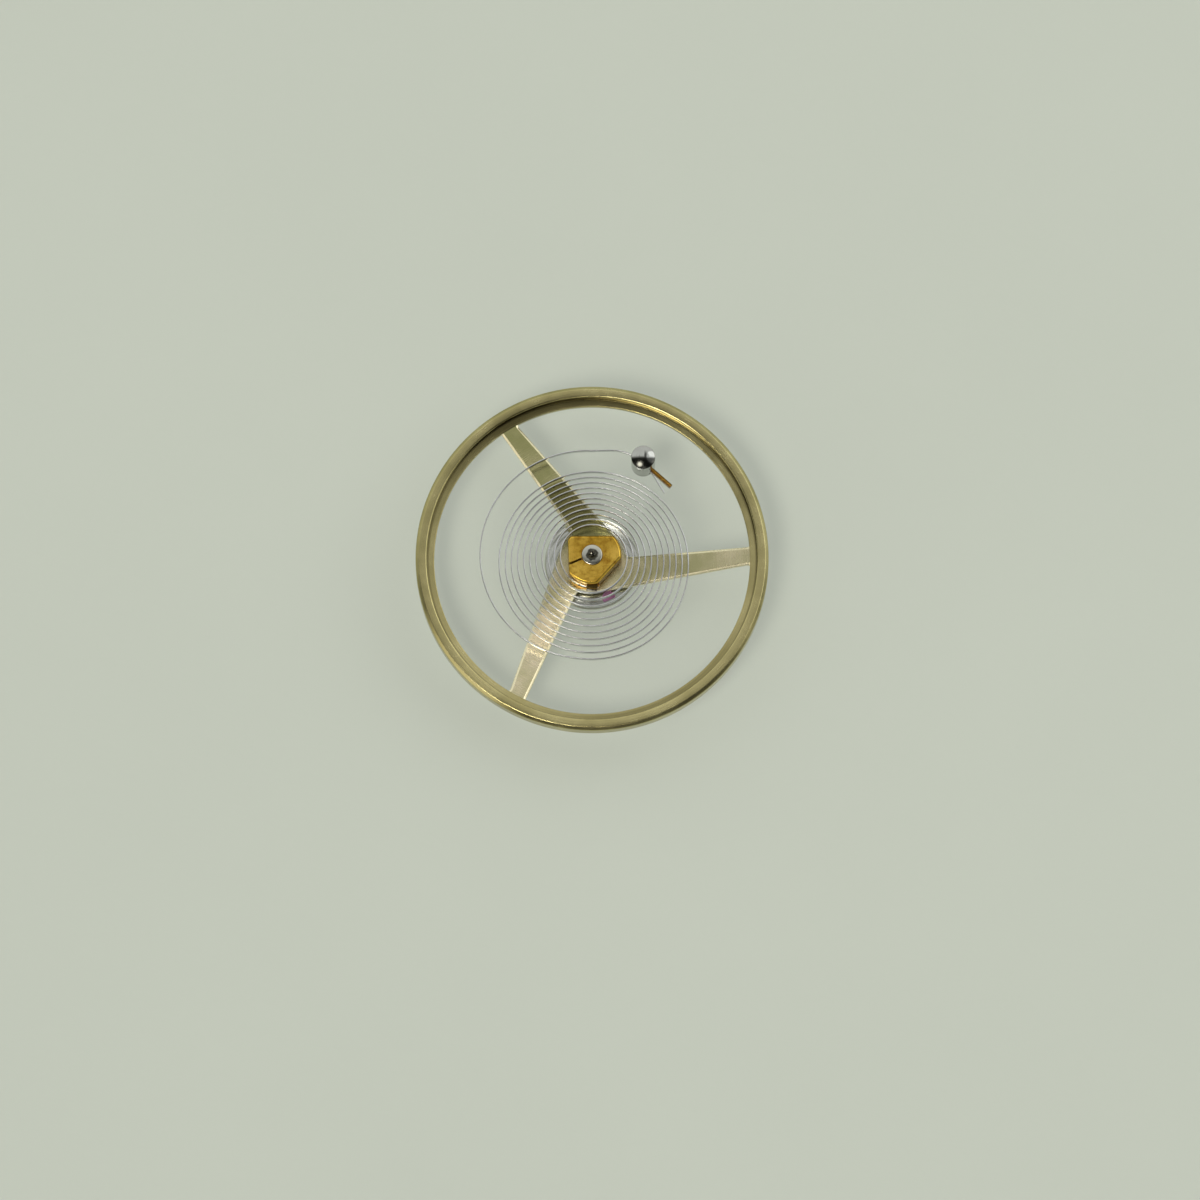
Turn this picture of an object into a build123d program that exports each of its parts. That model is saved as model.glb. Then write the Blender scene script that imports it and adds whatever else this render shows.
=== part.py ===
import os
from math import acos, asin, cos, degrees, pi, radians, sin, sqrt

from build123d import *

# A watch's balance complete, in millimetres.
# Z is the axis of the staff, with the hairspring side up, and the tip of the lower pivot is the origin.
# Angles are in degrees, anticlockwise from +X as seen from above. A turn is a share of 360 degrees.

# Balance wheel
wheel_diameter = 10.0
wheel_height = 1.3
rim_width = 0.53
rim_height = 0.45
rim_bevel_width = 0.09
rim_bevel_drop = 0.07
rim_step_width = 0.21
rim_step_depth = 0.28
rim_edge_break = 0.02
arm_count = 3
arm_angle = 5.0
arm_thickness = 0.14
arm_tip_width = 0.5
arm_bevel = 0.035
arm_rim_fillet = 0.14
arm_hub_fillet = 0.18
hub_diameter = 1.9

# Balance staff
pivot_diameter = 0.11
pivot_length = 0.24
pivot_tip_break = 0.02
cone_height = 0.2
cone_base_diameter = 0.28
roller_seat_diameter = 0.44
flange_diameter = 1.2
flange_height = 0.2
wheel_seat_diameter = 0.76
rivet_overhang = 0.05
rivet_height = 0.07
collet_seat_diameter = 0.58
collet_seat_spare = 0.05
staff_edge_break = 0.03

# Double roller and impulse jewel
table_diameter = 2.7
table_thickness = 0.16
table_bevel = 0.04
safety_diameter = 0.92
safety_height = 0.3
crescent_radius = 0.16
jewel_edge_distance = 0.23
jewel_angle = -65.0
jewel_width = 0.38
jewel_depth = 0.26
jewel_length = 0.64
jewel_overhang = 0.02
jewel_bevel = 0.02
jewel_clearance = 0.005

# Hairspring
blade_height = 0.14
blade_thickness = 0.035
spring_collet_gap = 0.0125
spring_start_angle = -100.0
spring_pitch = 0.173
spring_regular_turns = 11
spring_end_turn = 11.47
spring_lean_share = 0.11
spring_lean_angle = -90.0
spring_bulge = 0.215
spring_bulge_turns = 0.58
spring_tail_length = 0.62
steps_per_turn = 4
checks_per_turn = 90

# Collet
collet_diameter = 1.66
collet_height = 0.54
collet_gap = 0.03
collet_top_flat = 0.57
collet_left_flat = 0.67
collet_right_flat = 0.66
collet_top_angle = 90.0
collet_left_angle = 182.0
collet_right_angle = -42.0
collet_corner_round = 0.09
collet_edge_break = 0.03
collet_slit_width = 0.06
collet_slit_angle = 200.0
lug_width = 0.3
lug_height = 0.28
lug_hole_rise = 0.26
lug_wall = 0.05

# Pinned holes and the taper pins in them
pin_hole_diameter = 0.2
pin_clearance = 0.005
blade_clearance = 0.004
pin_end_break = 0.02
collet_pin_overhang = 0.06
stud_pin_overhang = 0.06
stud_pin_reach = 0.7

# Stud
stud_diameter = 0.68
stud_length = 1.06
stud_foot_depth = 0.18
stud_foot_break = 0.04
stud_dome = 0.09
stud_coil_distance = 0.317
stud_angle = 62.0
stud_hole_turn = 14.0

# Sizes that follow from the ones above
wheel_radius = wheel_diameter / 2
rim_inner_radius = wheel_radius - rim_width
rim_wall_radius = rim_inner_radius + rim_step_width
rim_top = wheel_height + rim_height
arm_top = wheel_height + arm_thickness
hub_radius = hub_diameter / 2
pivot_radius = pivot_diameter / 2
cone_radius = cone_base_diameter / 2
roller_seat_radius = roller_seat_diameter / 2
flange_radius = flange_diameter / 2
wheel_seat_radius = wheel_seat_diameter / 2
collet_seat_radius = collet_seat_diameter / 2
rivet_top = arm_top + rivet_height
collet_foot = rivet_top + collet_gap
collet_top = collet_foot + collet_height
shoulder_top = collet_top + collet_seat_spare
staff_top = shoulder_top + cone_height + pivot_length
table_top = wheel_height - flange_height
table_foot = table_top - table_thickness
safety_foot = table_foot - safety_height
jewel_circle_radius = table_diameter / 2 - jewel_edge_distance
spring_height = collet_foot + lug_hole_rise
spring_inner_radius = collet_diameter / 2 + spring_collet_gap + blade_thickness / 2
stud_radius = spring_inner_radius + spring_pitch * spring_regular_turns + stud_coil_distance
stud_foot = spring_height - stud_foot_depth
stud_top = stud_foot + stud_length
hole_radius = pin_hole_diameter / 2
pin_radius = hole_radius - pin_clearance
blade_reach = sqrt(hole_radius**2 - (blade_height / 2) ** 2) - blade_clearance
blade_offset = blade_reach - blade_thickness / 2
pin_flat = blade_reach - blade_thickness - blade_clearance


def polar(radius, angle, height=0):
    return Vector(radius * cos(radians(angle)), radius * sin(radians(angle)), height)


# Balance wheel: an L-shaped rim, three arms with one radial and one slanted edge each, and a hub
arm_step = 360 / arm_count
window_radius = rim_inner_radius + arm_bevel
arm_tip_turn = degrees(asin(arm_tip_width / window_radius))
arm_root_turn = degrees(acos(hub_radius / window_radius))
window_end = arm_step - arm_tip_turn
window_root = window_end - arm_root_turn

with BuildSketch() as window:
    with BuildLine():
        Line(polar(hub_radius, 0), polar(window_radius, 0))
        CenterArc((0, 0), window_radius, 0, window_end)
        Line(polar(window_radius, window_end), polar(hub_radius, window_root))
        CenterArc((0, 0), hub_radius, 0, window_root)
    make_face()
    fillet(window.vertices().sort_by_distance((0, 0))[-2:], arm_rim_fillet)
    fillet(window.vertices().sort_by_distance(polar(hub_radius, 0))[0], arm_hub_fillet)

with BuildPart() as balance_wheel:
    with BuildSketch(Plane.XY.offset(wheel_height)):
        Circle(rim_wall_radius)
        with PolarLocations(0, arm_count, start_angle=arm_angle):
            add(window.sketch, mode=Mode.SUBTRACT)
    extrude(amount=arm_thickness)
    chamfer(balance_wheel.faces().sort_by(Axis.Z)[-1].inner_wires().edges(), arm_bevel)
    with BuildSketch(Plane.XZ):
        with BuildLine():
            Polyline(
                (rim_inner_radius, wheel_height + rim_edge_break),
                (rim_inner_radius + rim_edge_break, wheel_height),
                (wheel_radius - rim_edge_break, wheel_height),
                (wheel_radius, wheel_height + rim_edge_break),
                (wheel_radius, rim_top - rim_bevel_drop),
                (wheel_radius - rim_bevel_width, rim_top),
                (rim_wall_radius + rim_edge_break, rim_top),
                (rim_wall_radius, rim_top - rim_edge_break),
                (rim_wall_radius, rim_top - rim_step_depth),
                (rim_inner_radius, rim_top - rim_step_depth),
                close=True,
            )
        make_face()
    revolve(axis=Axis.Z)
    with Locations((0, 0, arm_top)):
        Hole(wheel_seat_radius)
balance_wheel.part.label = "balance_wheel"

# Balance staff: two burnished pivots on trumpet cones, and the seats of the roller, the wheel and the collet
with BuildPart() as balance_staff:
    with BuildSketch(Plane.XZ):
        with BuildLine():
            Polyline(
                (0, 0),
                (pivot_radius - pivot_tip_break, 0),
                (pivot_radius, pivot_tip_break),
                (pivot_radius, pivot_length),
            )
            TangentArc((pivot_radius, pivot_length), (cone_radius, pivot_length + cone_height), tangent=(0, 1))
            Polyline(
                (cone_radius, pivot_length + cone_height),
                (roller_seat_radius - staff_edge_break, pivot_length + cone_height),
                (roller_seat_radius, pivot_length + cone_height + staff_edge_break),
                (roller_seat_radius, table_top),
                (flange_radius - staff_edge_break, table_top),
                (flange_radius, table_top + staff_edge_break),
                (flange_radius, wheel_height),
                (wheel_seat_radius, wheel_height),
                (wheel_seat_radius, arm_top),
                (wheel_seat_radius + rivet_overhang, arm_top),
                (wheel_seat_radius, rivet_top),
                (collet_seat_radius, rivet_top),
                (collet_seat_radius, shoulder_top - staff_edge_break),
                (collet_seat_radius - staff_edge_break, shoulder_top),
                (cone_radius, shoulder_top),
            )
            TangentArc((pivot_radius, staff_top - pivot_length), (cone_radius, shoulder_top), tangent=(0, -1))
            Polyline(
                (pivot_radius, staff_top - pivot_length),
                (pivot_radius, staff_top - pivot_tip_break),
                (pivot_radius - pivot_tip_break, staff_top),
                (0, staff_top),
                (0, 0),
            )
        make_face()
    revolve(axis=Axis.Z)
balance_staff.part.label = "balance_staff"

# Impulse jewel: a D-shaped pin that hangs from the table, with its flat outwards
with BuildSketch() as jewel_section:
    Circle(jewel_width / 2)
    with Locations((jewel_depth - jewel_width / 2, 0)):
        Rectangle(jewel_width, jewel_width, align=(Align.MIN, Align.CENTER), mode=Mode.SUBTRACT)

jewel_top = table_top + jewel_overhang
jewel_plane = Plane(polar(jewel_circle_radius, jewel_angle, jewel_top), x_dir=polar(1, jewel_angle), z_dir=(0, 0, -1))
with BuildPart() as impulse_jewel:
    with BuildSketch(jewel_plane):
        add(jewel_section.sketch)
    extrude(amount=jewel_length)
    chamfer(impulse_jewel.faces().filter_by(Axis.Z).edges(), jewel_bevel)
impulse_jewel.part.label = "impulse_jewel"

# Double roller: the impulse table with the jewel's hole, and under it the safety roller with its crescent
with BuildPart() as double_roller:
    with BuildSketch(Plane.XY.offset(table_foot)):
        Circle(table_diameter / 2)
    extrude(amount=table_thickness)
    chamfer(double_roller.faces().filter_by(Axis.Z).edges(), table_bevel)
    with BuildSketch(Plane.XY.offset(safety_foot)):
        Circle(safety_diameter / 2)
        with Locations(polar(safety_diameter / 2, jewel_angle)):
            Circle(crescent_radius, mode=Mode.SUBTRACT)
    extrude(amount=safety_height)
    with BuildSketch(jewel_plane):
        add(jewel_section.sketch)
        offset(amount=jewel_clearance)
    extrude(amount=jewel_overhang + table_thickness, mode=Mode.SUBTRACT)
    with Locations((0, 0, table_top)):
        Hole(roller_seat_radius)
double_roller.part.label = "double_roller"

# Route of the hairspring's blade, along its middle. It leaves the collet's lug, winds clockwise,
# bulges in its last turn and runs straight through the stud.
stud_centre = polar(stud_radius, stud_angle)
stud_hole_angle = stud_angle - stud_hole_turn - 90
stud_way = polar(1, stud_hole_angle)
stud_outward = polar(1, stud_hole_angle + 90)
stud_blade_centre = stud_centre - stud_outward * blade_offset
stud_entry = stud_blade_centre - stud_way * (stud_diameter / 2)
spring_end = stud_blade_centre + stud_way * (stud_diameter / 2 + spring_tail_length)

lug_outward = polar(1, spring_start_angle)
lug_way = polar(1, spring_start_angle - 90)
spring_start = polar(spring_inner_radius, spring_start_angle)
lug_hole_centre = polar(spring_inner_radius - blade_offset, spring_start_angle) - lug_way * (lug_width / 2)


def spring_point(turn):
    angle = spring_start_angle - 360 * turn
    wound = spring_pitch * min(turn, spring_regular_turns)
    if turn <= spring_regular_turns:
        lean = wound * spring_lean_share * cos(radians(angle - spring_lean_angle))
        return polar(spring_inner_radius + wound + lean, angle)
    full_lean = wound * spring_lean_share * cos(radians(spring_start_angle - spring_lean_angle))
    bulge = spring_bulge * sin(pi * (turn - spring_regular_turns) / spring_bulge_turns)
    return polar(spring_inner_radius + wound + full_lean + bulge, angle)


def spring_way(turn):
    step = 1 / (360 * steps_per_turn)
    return (spring_point(turn + step) - spring_point(turn - step)).normalized()


def biarc_middle(start, start_way, end, end_way):
    across = end - start
    ways = start_way + end_way
    bend = 2 * (1 - start_way.dot(end_way))
    along = across.dot(ways)
    reach = (sqrt(along**2 + bend * across.dot(across)) - along) / bend
    return (start + start_way * reach + end - end_way * reach) / 2


whole_steps = int(spring_end_turn * steps_per_turn)
spring_turns = [step / steps_per_turn for step in range(1, whole_steps)] + [spring_end_turn]
spring_stops = [(spring_start, lug_way)]
spring_stops += [(spring_point(turn), spring_way(turn)) for turn in spring_turns]
spring_stops += [(stud_entry, stud_way)]

# Hairspring: one flat ribbon on edge, swept along biarcs
spring_origin = spring_start - lug_way * lug_width + Vector(0, 0, spring_height)
with BuildPart() as hairspring:
    with BuildLine(Plane.XY.offset(spring_height)) as spring_route:
        Line(spring_start - lug_way * lug_width, spring_start)
        for (start, start_way), (end, end_way) in zip(spring_stops, spring_stops[1:]):
            middle = biarc_middle(start, start_way, end, end_way)
            TangentArc(start, middle, tangent=start_way)
            TangentArc(end, middle, tangent=-end_way)
        Line(stud_entry, spring_end)
    with BuildSketch(Plane(spring_origin, x_dir=(0, 0, 1), z_dir=lug_way)):
        Rectangle(blade_height, blade_thickness)
    sweep()
hairspring.part.label = "hairspring"

spring_length = sum(edge.length for edge in spring_route.edges())
spring_volume = blade_height * blade_thickness * spring_length
spring_samples = [spring_point(check / checks_per_turn) for check in range(int(spring_end_turn * checks_per_turn))]
spring_gap = min(
    (spring_samples[far] - spring_samples[near]).length - blade_thickness
    for near in range(len(spring_samples))
    for far in range(near + checks_per_turn // 2, min(near + checks_per_turn * 3 // 2, len(spring_samples)))
)
print(f"hairspring: length {spring_length:.2f}, least gap to itself {spring_gap:.3f}")
print(f"hairspring: volume {hairspring.part.volume:.5f}, section times length {spring_volume:.5f}")

# Collet: a slit brass ring with three flats, and a lug that holds the hairspring's inner end
collet_flats = [
    (collet_top_flat, collet_top_angle),
    (collet_left_flat, collet_left_angle),
    (collet_right_flat, collet_right_angle),
]
lug_inner_radius = collet_seat_radius + lug_wall
lug_outer_radius = spring_inner_radius - blade_offset + hole_radius + lug_wall
lug_depth = lug_outer_radius - lug_inner_radius
lug_centre = polar(lug_inner_radius + lug_depth / 2, spring_start_angle) - lug_way * (lug_width / 2)
lug_hole_plane = Plane(
    lug_hole_centre + Vector(0, 0, spring_height),
    x_dir=lug_outward,
    z_dir=lug_way,
)
with BuildPart() as collet:
    with BuildSketch(Plane.XY.offset(collet_foot)) as collet_outline:
        Circle(collet_diameter / 2)
        for flat, angle in collet_flats:
            with Locations(Location(polar(flat, angle), (0, 0, angle))):
                cut = collet_diameter
                Rectangle(cut, cut, align=(Align.MIN, Align.CENTER), mode=Mode.SUBTRACT)
        fillet(collet_outline.vertices(), collet_corner_round)
    extrude(amount=collet_height)
    chamfer(collet.faces().sort_by(Axis.Z)[-1].edges(), collet_edge_break)
    with BuildSketch(Plane.XY.offset(spring_height - lug_height / 2)):
        with Locations(Location(lug_centre, (0, 0, spring_start_angle))):
            Rectangle(lug_depth, lug_width)
    extrude(amount=lug_height)
    with BuildSketch(lug_hole_plane):
        Circle(hole_radius)
    extrude(amount=lug_width, both=True, mode=Mode.SUBTRACT)
    with BuildSketch(Plane.XY.offset(collet_foot)):
        with Locations(Location((0, 0), (0, 0, collet_slit_angle))):
            Rectangle(collet_diameter, collet_slit_width, align=(Align.MIN, Align.CENTER))
    extrude(amount=collet_height, mode=Mode.SUBTRACT)
    with Locations((0, 0, collet_top)):
        Hole(collet_seat_radius)
collet.part.label = "collet"

# Stud: a domed steel cylinder, cross-drilled for the hairspring's outer end
stud_hole_plane = Plane(
    stud_centre + Vector(0, 0, spring_height),
    x_dir=-stud_outward,
    z_dir=stud_way,
)
stud_section_plane = Plane(stud_centre, x_dir=(1, 0, 0), z_dir=(0, -1, 0))
with BuildPart() as stud:
    with BuildSketch(stud_section_plane):
        with BuildLine():
            Polyline(
                (0, stud_top),
                (0, stud_foot),
                (stud_diameter / 2 - stud_foot_break, stud_foot),
                (stud_diameter / 2, stud_foot + stud_foot_break),
                (stud_diameter / 2, stud_top - stud_dome),
            )
            TangentArc((0, stud_top), (stud_diameter / 2, stud_top - stud_dome), tangent=(1, 0))
        make_face()
    revolve(axis=Axis(stud_centre, (0, 0, 1)))
    with BuildSketch(stud_hole_plane):
        Circle(hole_radius)
    extrude(amount=stud_diameter, both=True, mode=Mode.SUBTRACT)
stud.part.label = "stud"

# Taper pins: each fills its hole beside the blade, with a flat against it
pin_ends = {
    "collet_pin": (
        lug_hole_plane,
        lug_width / 2 + collet_pin_overhang,
        lug_width / 2 + collet_pin_overhang,
    ),
    "stud_pin": (
        stud_hole_plane,
        stud_diameter / 2 + stud_pin_overhang,
        stud_diameter / 2 + stud_pin_reach,
    ),
}
pins = []
for pin_name, (hole_plane, back, front) in pin_ends.items():
    with BuildPart() as pin:
        with BuildSketch(hole_plane.offset(-back)):
            Circle(pin_radius)
            with Locations((pin_flat, 0)):
                cut = pin_hole_diameter
                Rectangle(cut, cut, align=(Align.MIN, Align.CENTER), mode=Mode.SUBTRACT)
        extrude(amount=back + front)
        pin_faces = pin.faces().sort_by(Axis(hole_plane.origin, hole_plane.z_dir))
        chamfer(pin_faces[0].edges() + pin_faces[-1].edges(), pin_end_break)
    pin.part.label = pin_name
    pins.append(pin.part)

pieces = [
    balance_wheel.part,
    balance_staff.part,
    double_roller.part,
    impulse_jewel.part,
    collet.part,
    hairspring.part,
    stud.part,
]
os.makedirs("parts", exist_ok=True)
for piece in pieces + pins:
    export_step(piece, f"parts/{piece.label}.step")
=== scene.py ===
from math import acos, asin, atan2, cos, degrees, pi, radians, sin, sqrt

import bmesh
import bpy
import numpy as np
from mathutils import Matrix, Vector


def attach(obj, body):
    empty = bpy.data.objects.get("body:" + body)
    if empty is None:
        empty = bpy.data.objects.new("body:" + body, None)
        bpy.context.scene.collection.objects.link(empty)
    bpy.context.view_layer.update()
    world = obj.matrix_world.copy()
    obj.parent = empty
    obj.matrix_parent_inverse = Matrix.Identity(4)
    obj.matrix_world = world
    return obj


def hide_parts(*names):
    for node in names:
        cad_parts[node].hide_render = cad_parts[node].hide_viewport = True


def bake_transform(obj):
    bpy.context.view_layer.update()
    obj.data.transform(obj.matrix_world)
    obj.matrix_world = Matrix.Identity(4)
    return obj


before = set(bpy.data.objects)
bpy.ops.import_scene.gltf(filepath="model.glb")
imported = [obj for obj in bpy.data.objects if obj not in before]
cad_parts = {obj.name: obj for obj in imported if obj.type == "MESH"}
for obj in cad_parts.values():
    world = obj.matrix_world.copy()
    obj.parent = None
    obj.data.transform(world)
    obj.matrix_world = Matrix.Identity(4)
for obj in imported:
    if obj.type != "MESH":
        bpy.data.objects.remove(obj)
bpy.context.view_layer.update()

# Camera. It looks down on the balance from 13 degrees off the staff's axis, through a long lens that shows
# hardly any perspective. Lengths in this file are in millimetres, and mm turns them into Blender's metres.
mm = 0.001
camera_distance = 400.0
camera_tilt = 13.0
view_width = 33.95
view_centre = Vector((0.2235, -1.234, 1.75))

camera_data = bpy.data.cameras.new("camera")
camera_data.sensor_width = 36.0
camera_data.lens = camera_data.sensor_width * camera_distance / view_width
camera_data.clip_start = 10 * mm
camera_data.clip_end = 10000 * mm
camera_data.dof.use_dof = False
camera = bpy.data.objects.new("camera", camera_data)
camera_way = Vector((0, -sin(radians(camera_tilt)), cos(radians(camera_tilt))))
camera.location = (view_centre + camera_way * camera_distance) * mm
camera.rotation_euler = (radians(camera_tilt), 0, 0)
bpy.context.collection.objects.link(camera)
bpy.context.scene.camera = camera
bpy.context.scene.view_settings.view_transform = "Standard"

# Sky. A soft studio dome: pale all round the horizon and bright behind the balance, but dark overhead and in
# front, where the camera stands in a dark room. Polished steel and brass show that as black against silver.
horizon_colour = (0.55, 0.59, 0.515, 1)
horizon_end = 0.10
dome_start = 0.38
dome_stops = [
    (0.00, (0.09, 0.09, 0.085, 1)),
    (0.30, (0.05, 0.05, 0.045, 1)),
    (0.46, (0.035, 0.035, 0.03, 1)),
    (0.53, (0.10, 0.10, 0.09, 1)),
    (0.58, (0.30, 0.305, 0.29, 1)),
    (0.62, (0.60, 0.605, 0.59, 1)),
    (0.68, (0.86, 0.87, 0.85, 1)),
    (1.00, (0.90, 0.91, 0.89, 1)),
]
# Patches with soft edges brighten it: a small high window, which makes the glints, and pale cards on the
# left, on the right and in front, which give the bevels their cream lines. Angles are in degrees, and a
# patch's share grows from its edge to the place where it is full.
sky_patches = [
    {"azimuth": 234, "height": 62, "edge": 14, "full": 5, "colour": (13.0, 12.5, 11.2, 1)},
    {"azimuth": 212, "height": 22, "edge": 27, "full": 11, "colour": (1.00, 0.97, 0.86, 1)},
    {"azimuth": 350, "height": 34, "edge": 17, "full": 7, "colour": (1.00, 0.97, 0.88, 1)},
    {"azimuth": 277, "height": 43, "edge": 14, "full": 6, "colour": (1.00, 0.97, 0.88, 1)},
]


def feed(socket, value):
    """Links another node's socket to this one, or sets a plain value on it."""
    if isinstance(value, bpy.types.NodeSocket):
        socket.id_data.links.new(value, socket)
    else:
        socket.default_value = value


def add_node(tree, kind, **settings):
    """Adds a node and gives it its settings: attributes by their names, and all others are its sockets."""
    node = tree.nodes.new(kind)
    for name, value in settings.items():
        if hasattr(node, name):
            setattr(node, name, value)
        else:
            feed(node.inputs[name.replace("_", " ")], value)
    return node


def reckon(tree, operation, *values):
    """Adds a Math node that takes the values in their order, and returns its result."""
    node = add_node(tree, "ShaderNodeMath", operation=operation)
    for socket, value in zip(node.inputs, values):
        feed(socket, value)
    return node.outputs[0]


def measure(tree, operation, *vectors):
    """Adds a Vector Math node for a length or a dot product, and returns that number."""
    node = add_node(tree, "ShaderNodeVectorMath", operation=operation)
    for socket, vector in zip(node.inputs, vectors):
        feed(socket, vector)
    return node.outputs["Value"]


def fade(tree, value, start, end, **settings):
    """A share that goes evenly from 0, where the value is at its start, to 1 at its end."""
    node = add_node(tree, "ShaderNodeMapRange", Value=value, From_Min=start, From_Max=end, **settings)
    return node.outputs["Result"]


def mix_colours(tree, share, under, over, blend="MIX"):
    """Lays one colour over another by a share, and returns the colour between them."""
    node = add_node(tree, "ShaderNodeMix", data_type="RGBA", blend_type=blend, Factor=share, A=under, B=over)
    return node.outputs["Result"]


def colour_ramp(tree, factor, stops, interpolation="LINEAR"):
    """Adds a colour ramp with the given (place, colour) stops and returns its colour."""
    ramp = add_node(tree, "ShaderNodeValToRGB", Fac=factor)
    ramp.color_ramp.interpolation = interpolation
    elements = ramp.color_ramp.elements
    elements[0].position, elements[0].color = stops[0]
    elements[-1].position, elements[-1].color = stops[-1]
    for position, colour in stops[1:-1]:
        elements.new(position).color = colour
    return ramp.outputs["Color"]


def way_to(azimuth, height):
    """The way to a place in the sky: its angles in degrees are round from +X and up from the horizon."""
    azimuth, height = radians(azimuth), radians(height)
    return Vector((cos(height) * cos(azimuth), cos(height) * sin(azimuth), sin(height)))


world = bpy.data.worlds.new("studio_dome")
world.use_nodes = True
bpy.context.scene.world = world
sky = world.node_tree
sky.nodes.clear()
sky_way = add_node(sky, "ShaderNodeTexCoord").outputs["Generated"]
sky_parts = add_node(sky, "ShaderNodeSeparateXYZ", Vector=sky_way).outputs
dome_colour = colour_ramp(sky, fade(sky, sky_parts["Y"], -1, 1), dome_stops, "EASE")
above_horizon = fade(sky, sky_parts["Z"], horizon_end, dome_start, interpolation_type="SMOOTHSTEP")
sky_colour = mix_colours(sky, above_horizon, horizon_colour, dome_colour)
for patch in sky_patches:
    nearness = measure(sky, "DOT_PRODUCT", sky_way, way_to(patch["azimuth"], patch["height"]))
    edge, full = cos(radians(patch["edge"])), cos(radians(patch["full"]))
    share = fade(sky, nearness, edge, full, interpolation_type="SMOOTHSTEP")
    sky_colour = mix_colours(sky, share, sky_colour, patch["colour"])
sky_light = add_node(sky, "ShaderNodeBackground", Color=sky_colour)
add_node(sky, "ShaderNodeOutputWorld", Surface=sky_light.outputs["Background"])

# Lamp. One wide and soft round box, high on the right, fills the shadows. It is far enough away to light the
# whole balance evenly.
fill_azimuth = 20
fill_height = 46
fill_distance = 450.0
fill_size = 440.0
fill_power = 0.42
fill_colour = (0.96, 0.98, 1.0)

fill_data = bpy.data.lights.new("fill_box", "AREA")
fill_data.shape = "DISK"
fill_data.size = fill_size * mm
fill_data.energy = fill_power
fill_data.color = fill_colour
fill_box = bpy.data.objects.new("fill_box", fill_data)
fill_way = way_to(fill_azimuth, fill_height)
fill_box.location = fill_way * fill_distance * mm
fill_box.rotation_euler = fill_way.to_track_quat("Z", "Y").to_euler()
bpy.context.collection.objects.link(fill_box)

# Floor. A plain pale sheet of card under the lower pivot, wide enough to reach the horizon from any side,
# with a faint mottle and grain.
floor_size = 3000.0
floor_colour = (0.57, 0.61, 0.535, 1)
floor_glow_share = 0.45

floor_mesh = bpy.data.meshes.new("floor")
floor_corners = np.array([(-1, -1, 0), (1, -1, 0), (1, 1, 0), (-1, 1, 0)]) * floor_size / 2 * mm
floor_mesh.from_pydata(floor_corners.tolist(), [], [(0, 1, 2, 3)])
floor = bpy.data.objects.new("floor", floor_mesh)
bpy.context.collection.objects.link(floor)


def new_material(name):
    """Returns a material, its node tree, its Principled shader, and the Object coordinates in millimetres."""
    material = bpy.data.materials.new(name)
    material.use_nodes = True
    tree = material.node_tree
    place = add_node(tree, "ShaderNodeTexCoord").outputs["Object"]
    in_mm = add_node(tree, "ShaderNodeMapping", name="millimetres", Vector=place, Scale=(1 / mm,) * 3)
    return material, tree, tree.nodes["Principled BSDF"], in_mm.outputs["Vector"]


def noise(tree, place, scale, detail, roughness):
    """Noise over a place: how fine it is, how many finer layers lie on it, and how strong they are."""
    node = add_node(tree, "ShaderNodeTexNoise", Vector=place, Scale=scale, Detail=detail, Roughness=roughness)
    return node.outputs["Fac"]


def raise_surface(shader, height, depth, strength=1.0):
    """Lets a height between 0 and 1 stand for a depth in millimetres on a shader's surface."""
    tree = shader.id_data
    bump = add_node(tree, "ShaderNodeBump", Height=height, Distance=depth * mm, Strength=strength)
    feed(shader.inputs["Normal"], bump.outputs["Normal"])


def shaded(colour, factor):
    """A colour made darker or lighter by a factor."""
    return tuple(part * factor for part in colour[:3]) + (1,)


floor_card, tree, shader, place = new_material("floor_card")
mottle = noise(tree, place, scale=0.06, detail=4, roughness=0.6)
grain = noise(tree, place, scale=3.0, detail=3, roughness=0.7)
mottled = colour_ramp(tree, mottle, [(0.3, shaded(floor_colour, 0.975)), (0.7, shaded(floor_colour, 1.02))])
feed(shader.inputs["Base Color"], mottled)
raise_surface(shader, grain, depth=0.02, strength=0.15)
shader.inputs["Roughness"].default_value = 0.75
shader.inputs["Specular IOR Level"].default_value = 0.2
# What the camera, a mirror or a clear body sees of it is partly its own glow, so its shadow stays light.
floor_glow = add_node(tree, "ShaderNodeEmission", Color=shaded(floor_colour, 0.94))
rays = add_node(tree, "ShaderNodeLightPath").outputs
seen = reckon(tree, "MAXIMUM", rays["Is Camera Ray"], rays["Is Glossy Ray"])
seen = reckon(tree, "MAXIMUM", seen, rays["Is Transmission Ray"])
glow_share = reckon(tree, "MULTIPLY", seen, floor_glow_share)
floor_mix = tree.nodes.new("ShaderNodeMixShader")
for socket, value in zip(floor_mix.inputs, (glow_share, shader.outputs[0], floor_glow.outputs[0])):
    feed(socket, value)
feed(tree.nodes["Material Output"].inputs["Surface"], floor_mix.outputs[0])
floor_mesh.materials.append(floor_card)

# Rim of the balance wheel. It is turned from a gilt beryllium bronze blank: a flat top with fine circular
# brushing, a wide bevel outside, and a step inside on which the arms run out.
wheel_radius = 5.0
wheel_foot = 1.3
rim_inner_radius = 4.47
rim_wall_radius = 4.68
rim_step_height = 1.47
rim_bevel_radius = 4.91
rim_bevel_foot = 1.68
rim_top = 1.75
rim_corners = [
    (rim_inner_radius, wheel_foot, 0.02),
    (wheel_radius, wheel_foot, 0.02),
    (wheel_radius, rim_bevel_foot, 0.04),
    (rim_bevel_radius, rim_top, 0.035),
    (rim_wall_radius, rim_top, 0.04),
    (rim_wall_radius, rim_step_height, 0.02),
    (rim_inner_radius, rim_step_height, 0.02),
]
rim_gold = (0.55, 0.485, 0.235, 1)
rim_shade = (0.44, 0.385, 0.175, 1)
# The last colour is painted shade, for the wall inside the rim and parts of the step.
rim_painted_shade = (0.20, 0.17, 0.07, 1)
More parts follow.
